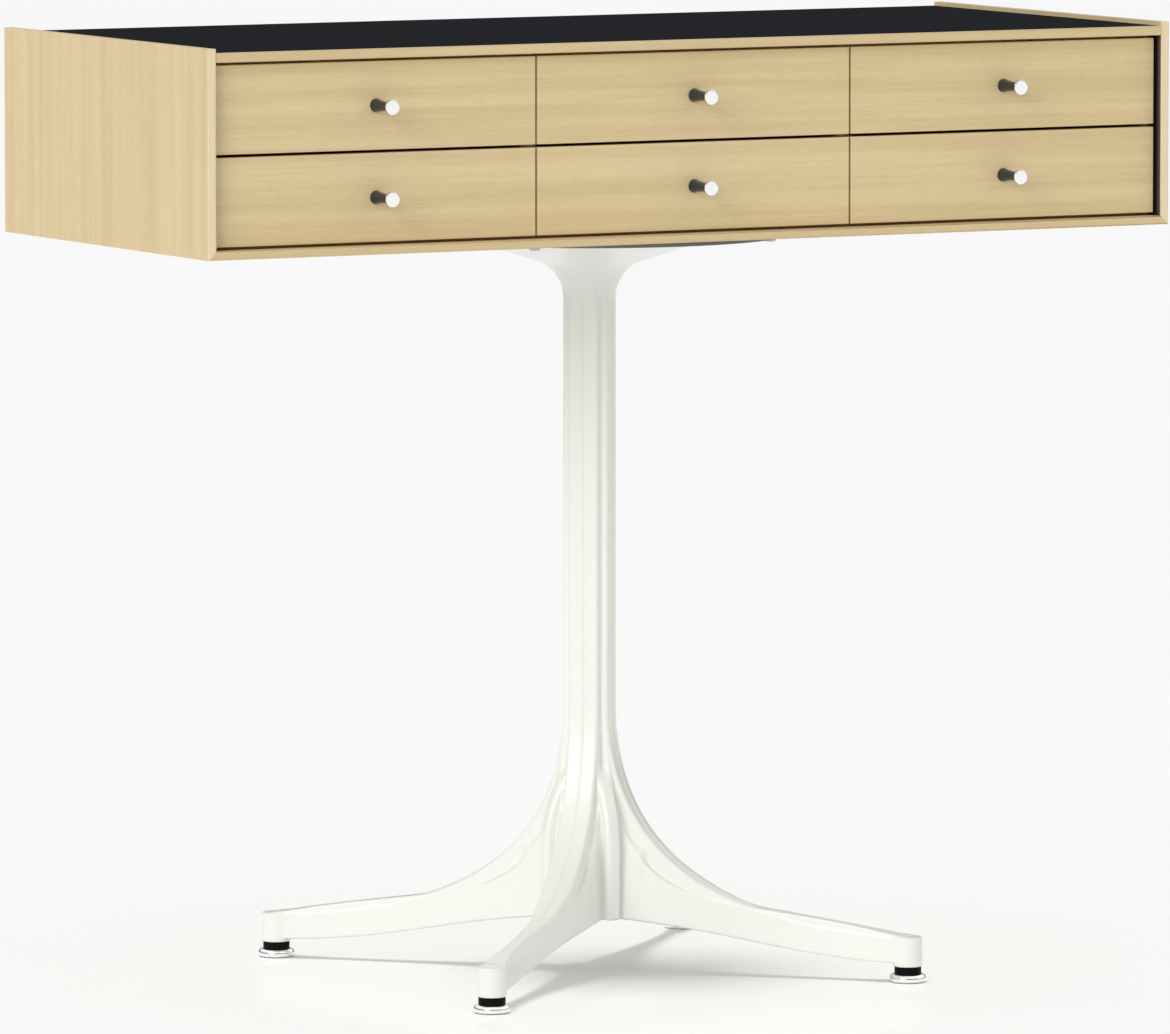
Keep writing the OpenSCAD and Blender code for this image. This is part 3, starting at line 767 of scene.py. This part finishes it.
class Casting:
    """The pedestal as a distance, in millimetres, with the legs along X and Y.

    Where numbers stand in a curve they are points that were measured in the photo.
    """

    boss, bore = 10.3, 4.1  # radii of a leg's end and of the hole up into it
    foot_high = 30.5  # top of the leg ends
    flange_rise, flange_neck, flange_throat, flange_rim = math.radians(18.0), 19.7, 25.0, 2.2

    def __init__(self, sizes, foot_out, boss_low, bore_top, flange_top, rim_out):
        for key in setting_names(sizes):
            setattr(self, key, getattr(sizes, key) * MM)
        self.foot, self.boss_low, self.bore_top = foot_out, boss_low, bore_top
        self.flange_top = flange_top
        self.join = self.hub_half_width + self.hub_hollow
        end = (foot_out, self.foot_high)
        outside = [(foot_out + 60.0, self.foot_high), (foot_out + 60.0, -60), (-60, -60)]
        side = ((-40.0, -20.0), (foot_out + 40.0, flange_top + 30.0))
        face = self.column_face
        # the top of a rib and its leg, the shoulder along their sides, and the web between legs
        self.crest = Field(
            [(-60, 620), (face, 620)]
            + list(curve((face, 190), (face, 85), (90.7, self.foot_high + 4.7), end, 40))
            + outside, *side)
        self.flank = Field(
            [(-60, 620), (12.0, 620), (13.5, 205), (15.5, 175), (18.2, 150)]
            + list(curve((21.9, 122), (46.6, 36.9), (101.0, self.foot_high + 27.0), end, 40))
            + outside, *side)
        self.web = Field(
            [(-60, 250), (11, 250), (12.4, 205)]
            + list(curve((13.0, 180), (15.2, 126), (22.0, 101), (45.7, 85), 20))
            + [(45.7, -60), (-60, -60)], *side)
        hub, leg = self.hub_half_width, self.leg_half_width
        plan = np.vstack([
            curve((self.join, hub), (75, hub), (105, leg + 0.2), (0.766 * foot_out, leg), 30),
            curve((0.774 * foot_out, leg), (0.87 * foot_out, leg),
                  (0.92 * foot_out, self.boss * 0.7), (foot_out - 6.2, self.boss * 0.8), 12)])
        self.plan_at, self.plan_half = plan[:, 0], plan[:, 1]
        outline = self.flange_outline(rim_out)
        lowest = outline[0][1]
        self.flange = Field(
            outline, (-40.0, lowest - 24.0), (rim_out + 40.0, flange_top + 30.0))

    def flange_outline(self, rim_out):
        """A trumpet: a lead out of the column, a round throat and a straight cone up to the rim."""
        rise, throat, high = self.flange_rise, self.flange_throat, self.flange_top
        throat_at = self.flange_neck + throat
        end_r = throat_at - throat * math.sin(rise)
        end_z = high - self.flange_rim - (rim_out - end_r) * math.tan(rise)
        throat_z = end_z - throat * math.cos(rise)
        first = math.radians(30.0)
        arc = [(throat_at - throat * math.cos(a), throat_z + throat * math.sin(a))
               for a in np.linspace(first, math.pi / 2 - rise, 16)]
        handle = np.array(arc[0]) - 7.0 * np.array((math.sin(first), math.cos(first)))
        lead = curve((13.6, throat_z - 16), (15.6, throat_z - 4), tuple(handle), arc[0], 12)
        return [(-60, throat_z - 16), *lead, *arc,
                (rim_out, high - self.flange_rim), (rim_out, high), (-60, high)]

    def __call__(self, x, y, z):
        x, y = np.abs(x), np.abs(y)
        a, b = np.maximum(x, y), np.minimum(x, y)
        level, z = z, z - self.hub_lift
        width = np.interp(a, self.plan_at, self.plan_half)
        rib_half = self.rib_half_width
        # the rib, with a roof of two degrees and the mould's line along its top
        corner = rib_half + self.hollow
        rib_side = np.where(
            a < corner, self.hollow - np.hypot(a - corner, b - corner),
            b - np.minimum(rib_half, width))
        roof = 0.035 * b - self.parting_line * np.exp(-(b / 0.45) ** 2)
        rib = both(self.crest(a, z) + roof, rib_side, self.rib_round)
        # the leg's side, which stands out past the rib below the column
        fade = np.clip((172.0 - z) / 62.0, 0.0, 1.0)
        fade = fade * fade * (3 - 2 * fade)
        shoulder = rib_half + (width - rib_half) * fade
        draft = 0.055 * np.clip(95.0 - z, 0.0, 60.0) * np.clip((110.0 - a) / 70.0, 0.0, 1.0)
        wall = both(
            self.flank(a, z), b - draft - np.where(width > rib_half, shoulder, width), 1.1)
        # the web in the corner between two legs and the post in front of it
        plan = np.where(
            a < self.join, self.hub_hollow - np.hypot(a - self.join, b - self.join), b - width)
        web = both(plan, self.web(np.hypot(x, y), z), 2.5)
        out, side = (a + b) * math.sqrt(0.5), (a - b) * math.sqrt(0.5)
        reach = self.post_reach - 0.006 * np.clip(z - 88.0, 0.0, 90.0) ** 2
        post = both(side - self.post_half_width, out - reach, 3.6)
        leg = either(either(either(rib, wall, 1.4), web, 4.0), post, 2.4)
        # the arched underside
        span = self.foot - self.boss
        under = 12.0 + 26.0 * (1 + np.cos(np.pi * np.clip(a / span, 0, 1))) / 2
        leg = both(leg, (under - z) * 0.985, 1.8)
        # the leg's round end with the hole for the glide's stem, and the flange
        out = np.hypot(a - self.foot, b) - self.boss
        slab = np.maximum(z - self.foot_high, self.boss_low - level)
        leg = either(np.maximum(leg, a - self.foot), both(out, slab, 1.1), 2.5)
        bored = np.maximum(out + self.boss - self.bore, level - self.bore_top)
        leg = np.maximum(np.maximum(leg, -bored), level - (self.flange_top - 6.0))
        return either(leg, self.flange(np.hypot(x, y), level), 2.5)


def steps_up(start, *runs):
    """Growing numbers from start, by each run's step until its limit is reached."""
    line = list(start)
    for limit, step in runs:
        while line[-1] < limit:
            line.append(line[-1] + step)
    return np.array(line)


def grid_lines(casting, cell):
    """Where the cells' corners lie: close together where the casting is small in detail."""
    half = steps_up(
        [0.35, 1.05], (50.0, cell), (casting.foot - 14.0, 2.0 * cell),
        (casting.foot + casting.boss + 2.0, cell))
    up = steps_up(
        [casting.boss_low - 1.3 * cell], (200.0, cell), (casting.flange_top - 66.0, 4.0 * cell),
        (casting.flange_top + cell, cell))
    return half, up


def cast_surface(casting, cell):
    """Vertices and four-sided faces where the casting's distance is zero.

    One quarter is worked out and mirrored. Each cell that the surface passes through gets a
    vertex in the middle of the points where it crosses the cell's edges.
    """
    half, up = grid_lines(casting, cell)
    x, y, z = np.meshgrid(half, half, up, indexing="ij")
    quarter = np.empty(x.shape, np.float32)
    for i in range(len(half)):
        quarter[i] = casting(x[i], y[i], z[i])
    half_plane = np.concatenate([quarter[::-1], quarter], 0)
    value = np.concatenate([half_plane[:, ::-1], half_plane], 1)
    line = np.concatenate([-half[::-1], half])
    lines = (line, line, up)
    inside = value < 0
    cells = tuple(s - 1 for s in value.shape)
    total = np.zeros(cells + (3,), np.float32)
    hits = np.zeros(cells, np.uint8)
    crossings = []
    for axis in range(3):
        low = [slice(None)] * 3
        high = [slice(None)] * 3
        low[axis], high[axis] = slice(0, -1), slice(1, None)
        i, k, m = np.nonzero(inside[tuple(low)] != inside[tuple(high)])
        start = np.stack([i, k, m], 1)
        end = start.copy()
        end[:, axis] += 1
        v0, v1 = value[tuple(start.T)], value[tuple(end.T)]
        share = v0 / (v0 - v1)
        point = np.stack([lines[n][start[:, n]] for n in range(3)], 1).astype(np.float32)
        point[:, axis] += share * (lines[axis][end[:, axis]] - lines[axis][start[:, axis]])
        others = [n for n in range(3) if n != axis]
        around = []
        for p, q in ((0, 0), (0, 1), (1, 0), (1, 1)):
            at = start.copy()
            at[:, others[0]] -= p
            at[:, others[1]] -= q
            around.append(at)
            np.add.at(total, tuple(at.T), point)
            np.add.at(hits, tuple(at.T), 1)
        crossings.append((around, inside[tuple(start.T)], axis))
    used = np.argwhere(hits > 0)
    number = np.full(cells, -1, np.int64)
    number[tuple(used.T)] = np.arange(len(used))
    verts = total[tuple(used.T)] / hits[tuple(used.T)][:, None]
    faces = []
    for around, starts_inside, axis in crossings:
        a, b, c, d = (number[tuple(at.T)] for at in around)
        quad = np.stack([a, b, d, c], 1)
        turn = ~starts_inside if axis == 1 else starts_inside
        quad[turn] = quad[turn][:, ::-1]
        faces.append(quad)
    return verts.astype(float), np.concatenate(faces)


def slope_of(casting, verts, reach):
    """The direction in which the casting's distance grows fastest."""
    parts = []
    for axis in range(3):
        step = np.zeros(3)
        step[axis] = reach
        parts.append((casting(*(verts + step).T) - casting(*(verts - step).T)) / (2 * reach))
    return np.stack(parts, 1)


def cast_pedestal(name):
    """The pedestal in one piece, with fillets where its ribs, legs and flange meet."""
    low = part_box("pedestal_casting")[0] * MM
    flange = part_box("top_flange")[1] * MM
    pad_low, pad_high = (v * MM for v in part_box("glide_pad_back_right"))
    foot = (pad_low.x + pad_high.x) / 2 * math.sqrt(2.0)
    bore_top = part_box("glide_stem_back_right")[1].z * MM + 0.5
    casting = Casting(
        bpy.context.scene.chest_pedestal, foot, low.z, bore_top, flange.z, flange.x)
    verts, faces = cast_surface(casting, casting.cell)
    for _ in range(3):
        slope = slope_of(casting, verts, 0.08)
        size = np.maximum((slope**2).sum(1), 0.25)
        move = -slope * (casting(*verts.T) / size)[:, None]
        verts += np.clip(move, -0.6, 0.6)
    normals = slope_of(casting, verts, 0.2)
    normals /= np.maximum(np.linalg.norm(normals, axis=1), 1e-9)[:, None]
    half = math.sqrt(0.5)
    turn = np.array([[half, -half, 0], [half, half, 0], [0, 0, 1]])
    verts = verts @ turn.T / MM
    normals = normals @ turn.T
    mesh = bpy.data.meshes.new(name)
    mesh.vertices.add(len(verts))
    mesh.vertices.foreach_set("co", verts.astype(np.float32).ravel())
    mesh.loops.add(faces.size)
    mesh.loops.foreach_set("vertex_index", faces.astype(np.int32).ravel())
    mesh.polygons.add(len(faces))
    mesh.polygons.foreach_set("loop_start", np.arange(0, faces.size, 4, dtype=np.int32))
    mesh.update(calc_edges=True)
    mesh.validate()
    mesh.polygons.foreach_set("use_smooth", np.ones(len(mesh.polygons), bool))
    mesh.normals_split_custom_set_from_vertices([tuple(n) for n in normals])
    return as_object(name, mesh)


# ---------------------------------------------------------------- profiles


def knob_profile(s, length):
    """A slender cone that stands on the drawer front and flares into a flat head."""
    head, neck = length - s.knob_head_depth, s.knob_neck
    cone = curve(
        (s.knob_foot, 0.0006), (s.knob_foot - 0.0006, 0.004), (s.knob_stem, 0.008),
        (neck, head - 0.0035), 16)
    flare = curve(
        (neck, head - 0.003), (neck, head - 0.001), (neck + 0.0008, head),
        (s.knob_head - 0.0006, head), 8)
    rim = rounded(
        [(s.knob_head - 0.0003, head), (s.knob_head, head), (s.knob_head, length - 0.0001),
         (s.knob_head - 0.0004, length), (0.0, length)], 0.0002)
    return [(0.0, 0.0), (s.knob_foot - 0.0002, 0.0), (s.knob_foot, 0.0002), *cone, *flare, *rim]


def pad_profile(out, tall):
    """A flat pad with a full, rolled rim."""
    under = curve((out - 0.0018, 0.0001), (out - 0.0004, 0.0005), (out, 0.0012), (out, 0.0022), 8)
    over = curve(
        (out, 0.0030), (out, tall - 0.0012), (out - 0.0012, tall), (out - 0.0035, tall), 10)
    return [(0.0, 0.0), (out - 0.0022, 0.0), *under, *over, (0.0, tall)]


def screw_profile(length, head, head_height, shank):
    """A pan-head screw that stands on its head, with a round socket in it."""
    return rounded(
        [(0.0, 0.0012), (0.0015, 0.0012), (0.0015, 0.0), (head * 0.8, 0.0),
         (head, head_height * 0.45), (head, head_height), (shank, head_height),
         (shank, length - 0.0006), (shank * 0.6, length), (0.0, length)], 0.0003)


def sunk_profile(length, head, shank):
    """A countersunk screw that stands on its head, with a round socket in it."""
    return rounded(
        [(0.0, 0.0012), (head * 0.4, 0.0012), (head * 0.4, 0.0), (head, 0.0),
         (shank, head - shank), (shank, length - 0.0006), (shank * 0.6, length), (0.0, length)],
        0.0002, corners=(1, 2, 5, 6))


def solid_boxes(node):
    """The lowest and highest corner of every separate solid of a CAD node."""
    shape = bmesh.new()
    shape.from_mesh(frame["nodes"][node].data)
    bmesh.ops.remove_doubles(shape, verts=shape.verts, dist=1e-6)
    left, found = set(shape.verts), []
    while left:
        solid, todo = set(), [left.pop()]
        while todo:
            vert = todo.pop()
            solid.add(vert)
            for edge in vert.link_edges:
                other = edge.other_vert(vert)
                if other in left:
                    left.remove(other)
                    todo.append(other)
        found.append(tuple(
            Vector(pick(v.co[i] for v in solid) for i in range(3)) for pick in (min, max)))
    shape.free()
    return sorted(found, key=lambda pair: tuple(round(c, 5) for c in pair[0]))


# ---------------------------------------------------------------- operators


class CHEST_OT_case(bpy.types.Operator):
    """Round the edges of the case's panels and veneer them"""

    bl_idname = "chest.case"
    bl_label = "Case panels"

    def execute(self, context):
        sizes = context.scene.chest_wood
        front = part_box("side_panel_left")[0].y

        def on_front(low, high):
            level = abs(low.y - front) < 1e-5 and abs(high.y - front) < 1e-5
            return level and min(abs(high.x - low.x), abs(high.z - low.z)) < 1e-5

        for node in ("side_panel_left", "side_panel_right", "bottom_panel", "top_panel"):
            grain = "side_grain" if node.startswith("side") else "case_grain"
            board(
                node, CASE_BODY, "case_veneer", grain, sizes.arris, sizes.front_bevel, on_front)
        board("back_panel", CASE_BODY, "case_veneer", "case_grain", sizes.arris)
        board("dividers", CASE_BODY, "inner_wood", "inner_grain_deep", sizes.arris)
        wear(frame["nodes"]["top_laminate"], finish("matt_laminate"))
        wear(frame["nodes"]["drawer_runners"], finish("inner_grain_deep"))
        return {"FINISHED"}


class CHEST_OT_drawers(bpy.types.Operator):
    """Round the edges of the drawers' boards and give them their grain"""

    bl_idname = "chest.drawers"
    bl_label = "Drawers"

    def execute(self, context):
        sizes = context.scene.chest_wood
        for place in DRAWERS:
            for part, slot, material, rounding in (
                ("drawer_front_", "front_veneer", "front_grain", sizes.drawer_bevel),
                ("drawer_sides_", "inner_wood", "inner_grain_deep", sizes.arris),
                ("drawer_back_", "inner_wood", "inner_grain_wide", sizes.arris),
            ):
                board(part + place, "drawer_" + place, slot, material, rounding)
            wear(frame["nodes"]["drawer_bottom_" + place], finish("inner_grain_wide"))
        return {"FINISHED"}


class CHEST_OT_knobs(bpy.types.Operator):
    """Turn the chromed knobs and the screws that hold them"""

    bl_idname = "chest.knobs"
    bl_label = "Knobs"

    def execute(self, context):
        chrome, steel = finish("knob_chrome"), finish("plated_steel")
        head_height, shank = 0.0026, 0.002
        for place in DRAWERS:
            body = "drawer_" + place
            low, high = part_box("knob_" + place)
            centre = Vector(((low.x + high.x) / 2, high.y, (low.z + high.z) / 2))
            knob = turned(knob_profile(context.scene.chest_turned, high.y - low.y), chrome)
            stand(knob, "knob_" + place, [centre], FORWARD, chrome, body, "chrome")
            low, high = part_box("knob_screw_" + place)
            centre.y = high.y
            profile = screw_profile(high.y - low.y, (high.z - low.z) / 2, head_height, shank)
            screw = turned(profile, steel)
            stand(screw, "knob_screw_" + place, [centre], FORWARD, steel, body, "screw_steel")
        return {"FINISHED"}


class CHEST_OT_pedestal(bpy.types.Operator):
    """Cast the pedestal, with the disc that it carries the case by"""

    bl_idname = "chest.pedestal"
    bl_label = "Pedestal"

    def execute(self, context):
        casting = wear(cast_pedestal("pedestal_piece"), finish("white_enamel"))
        seat(casting, CASE_BODY, "cast_enamel", "pedestal_casting", "top_flange")
        low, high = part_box("mounting_disc")
        rim, steel = (high.x - low.x) / 2, finish("dark_steel")
        outline = rounded(
            [(0.0, low.z), (rim, low.z), (rim, high.z), (0.0, high.z)], 0.0008, 4)
        stand(
            turned(outline, steel), "mounting_disc", [(0, 0, 0)], UPRIGHT, steel, CASE_BODY,
            "plate_steel")
        return {"FINISHED"}


class CHEST_OT_glides(bpy.types.Operator):
    """Turn the glides' chromed pads and their black collars with threaded stems"""

    bl_idname = "chest.glides"
    bl_label = "Glides"

    def execute(self, context):
        pitch = context.scene.chest_turned.thread_pitch
        chrome, nylon = finish("polished_chrome"), finish("black_nylon")
        stem, ledge, ridge = 0.0037, 0.0049, 0.0003
        for corner in CORNERS:
            body = "glide_" + corner
            low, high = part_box("glide_pad_" + corner)
            centre = Vector(((low.x + high.x) / 2, (low.y + high.y) / 2, 0.0))
            pad = turned(pad_profile((high.x - low.x) / 2, high.z - low.z), chrome)
            stand(pad, "glide_pad_" + corner, [centre], UPRIGHT, chrome, body, "chrome")
            low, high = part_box("glide_stem_" + corner)
            centre.z = low.z
            collar, top = (high.x - low.x) / 2, high.z - low.z
            outline = rounded(
                [(0.0, 0.0), (collar, 0.0), (collar, ledge), (stem, ledge), (stem, top - 0.0008),
                 (stem - 0.0008, top), (0.0, top)], 0.0005)
            length = top - ledge - 0.003
            piece = shaped_by(
                turned(outline, nylon), group("Thread on a stem", thread_tree), "threaded",
                Turns=length / pitch, Radius=stem - 0.00005, Length=length,
                Start=ledge + 0.0012, Ridge=ridge, Material=nylon)
            outward(piece.data)
            stand(
                piece, "glide_stem_" + corner, [centre], UPRIGHT, nylon, body, "black_plastic")
        return {"FINISHED"}


class CHEST_OT_screws(bpy.types.Operator):
    """Turn the screws of the back panel, the flange and the disc, and the column's bolt"""

    bl_idname = "chest.screws"
    bl_label = "Screws"

    def execute(self, context):
        steel = finish("plated_steel")
        for node, turn, axis, shank, head_height in (
            ("back_panel_screws", FORWARD, 1, 0.0016, None),
            ("flange_screws", UPSIDE_DOWN, 2, 0.003, None),
            ("case_screws", UPRIGHT, 2, 0.00225, 0.0024),
            ("column_bolt", UPSIDE_DOWN, 2, 0.006, 0.011),
        ):
            solids = solid_boxes(node)
            low, high = solids[0]
            length, head = high[axis] - low[axis], (high.x - low.x) / 2
            if head_height:
                outline = screw_profile(length, head, head_height, shank)
            else:
                outline = sunk_profile(length, head, shank)
            points = []
            for low, high in solids:
                point = (low + high) / 2
                point[axis] = (low if turn == UPRIGHT else high)[axis]
                points.append(point)
            stand(
                turned(outline, steel), node, points, turn, steel, CASE_BODY, "screw_steel")
        return {"FINISHED"}


# -------------------------------------------------------------------- stage


def lay_floor(stage):
    """A floor that looks as pale as its colour but throws less light on to the chest."""
    floor = points_object(
        "floor", [(-40, -40, 0), (40, -40, 0), (40, 60, 0), (-40, 60, 0)], faces=[(0, 1, 2, 3)])
    material, tree, shader = new_finish("pale_floor")
    ray = add(tree, "ShaderNodeLightPath")
    seen = ray["Is Camera Ray"]
    for kind in ("Is Glossy Ray", "Is Transmission Ray"):
        seen = calc(tree, "MAXIMUM", seen, ray[kind])
    dim = with_alpha(v * stage.bounce for v in stage.floor)
    feed(tree, shader, {
        "Base Color": blend(tree, seen, dim, with_alpha(stage.floor)), "Roughness": 0.6,
        "Specular IOR Level": 0.0, "Coat Weight": 0.09, "Coat Roughness": 0.06})
    wear(floor, material)
    return floor


def light_sky(stage):
    """A white backdrop that gives less light than it shows, and looks darker low in a mirror."""
    world = bpy.data.worlds.new("Studio")
    world.use_nodes = True
    tree = world.node_tree
    height = split(tree, place_in(tree, "Generated"))["Z"]
    ray = add(tree, "ShaderNodeLightPath")
    glossy = ray["Is Glossy Ray"]
    haze, mirror_low, mirror_high, mirror_least = 0.22, 0.05, 0.5, 0.06
    given = ranged(tree, height, 0.0, haze, stage.horizon, 1.0, "SMOOTHSTEP")
    given = calc(tree, "MULTIPLY", given, stage.sky)
    given = calc(tree, "MULTIPLY", given, calc(tree, "SUBTRACT", 1.0, glossy))
    mirrored = ranged(
        tree, height, mirror_low, mirror_high, mirror_least, 1.0, "SMOOTHSTEP")
    light = calc(tree, "ADD", calc(tree, "MULTIPLY", mirrored, glossy), given)
    shown = calc(tree, "ADD", ray["Is Camera Ray"], ray["Is Transmission Ray"])
    feed(tree, node_of(tree, "BACKGROUND"), {
        "Strength": calc(tree, "MAXIMUM", shown, light), "Color": (1.0, 1.0, 1.0, 1.0)})
    bpy.context.scene.world = world


def sun_lamp(name, strength, softness, way, floor, only_floor=False, blockers=()):
    """A sun along way that lights all but the floor, or the floor alone.

    Blockers, if there are any, are all that throws a shadow.
    """
    data = bpy.data.lights.new(name, "SUN")
    data.energy, data.angle = strength, softness
    lamp = as_object(name, data)
    lamp.rotation_euler = Vector(way).to_track_quat("-Z", "Y").to_euler()
    reached = bpy.data.collections.new(name + "_reaches")
    reached.objects.link(floor)
    if not only_floor:
        reached.collection_objects[0].light_linking.link_state = "EXCLUDE"
    lamp.light_linking.receiver_collection = reached
    if blockers:
        blocked = bpy.data.collections.new(name + "_is_blocked_by")
        for blocker in blockers:
            blocked.objects.link(blocker)
        lamp.light_linking.blocker_collection = blocked


def place_camera(stage):
    view = bpy.data.cameras.new("camera")
    view.sensor_width, view.lens, view.clip_end = 36.0, stage.lens, 200.0
    camera = as_object("camera", view)
    camera.location = stage.camera_at
    camera.rotation_euler = (math.pi / 2 - stage.camera_dip, 0.0, -stage.camera_heading)
    bpy.context.scene.camera = camera


class CHEST_OT_stage(bpy.types.Operator):
    """Lay the floor, hang the lamps and place the camera"""

    bl_idname = "chest.stage"
    bl_label = "Stage"

    def execute(self, context):
        stage = context.scene.chest_stage
        floor = lay_floor(stage)
        light_sky(stage)
        soft = stage.key_softness
        sun_lamp("key_lamp", stage.key, soft, (0.80, 0.46, -0.36), floor)
        sun_lamp("fill_lamp", stage.fill, soft * 2, (-0.90, 0.25, -0.35), floor)
        carriers = [
            o for o in bpy.data.objects if o.name.startswith(("pedestal_piece", "glide_"))]
        sun_lamp(
            "floor_lamp", stage.floor_light, math.radians(16.0), (0.06, -0.06, -1.0), floor,
            only_floor=True, blockers=carriers)
        place_camera(stage)
        context.scene.view_settings.view_transform = "Standard"
        return {"FINISHED"}


class CHEST_PT_panel(bpy.types.Panel):
    """The chest's sizes, finishes and pieces"""

    bl_label = "Miniature chest"
    bl_idname = "CHEST_PT_panel"
    bl_space_type = "VIEW_3D"
    bl_region_type = "UI"
    bl_category = "Chest"

    def draw(self, context):
        for operator in OPERATORS:
            self.layout.operator(operator.bl_idname)
        for key in SETTINGS:
            box = self.layout.box()
            group = getattr(context.scene, key)
            for name in setting_names(group):
                box.prop(group, name)


SETTINGS = {
    "chest_wood": ChestWoodSizes,
    "chest_pedestal": ChestPedestalSizes,
    "chest_turned": ChestTurnedSizes,
    "chest_finishes": ChestFinishes,
    "chest_stage": ChestStage,
}
OPERATORS = (
    CHEST_OT_case, CHEST_OT_drawers, CHEST_OT_knobs, CHEST_OT_pedestal,
    CHEST_OT_glides, CHEST_OT_screws, CHEST_OT_stage,
)


def register():
    for group in SETTINGS.values():
        bpy.utils.register_class(group)
    for operator in OPERATORS:
        bpy.utils.register_class(operator)
    bpy.utils.register_class(CHEST_PT_panel)
    for key, group in SETTINGS.items():
        setattr(bpy.types.Scene, key, bpy.props.PointerProperty(type=group))


def unregister():
    for key in SETTINGS:
        delattr(bpy.types.Scene, key)
    bpy.utils.unregister_class(CHEST_PT_panel)
    for operator in reversed(OPERATORS):
        bpy.utils.unregister_class(operator)
    for group in reversed(list(SETTINGS.values())):
        bpy.utils.unregister_class(group)


def main():
    register()
    kept = set(frame["nodes"].values()) | set(frame["bodies"].values())
    for obj in [o for o in bpy.data.objects if o not in kept]:
        bpy.data.objects.remove(obj)
    bpy.ops.chest.case()
    bpy.ops.chest.drawers()
    bpy.ops.chest.knobs()
    bpy.ops.chest.pedestal()
    bpy.ops.chest.glides()
    bpy.ops.chest.screws()
    bpy.ops.chest.stage()


if __name__ == "__main__":
    main()
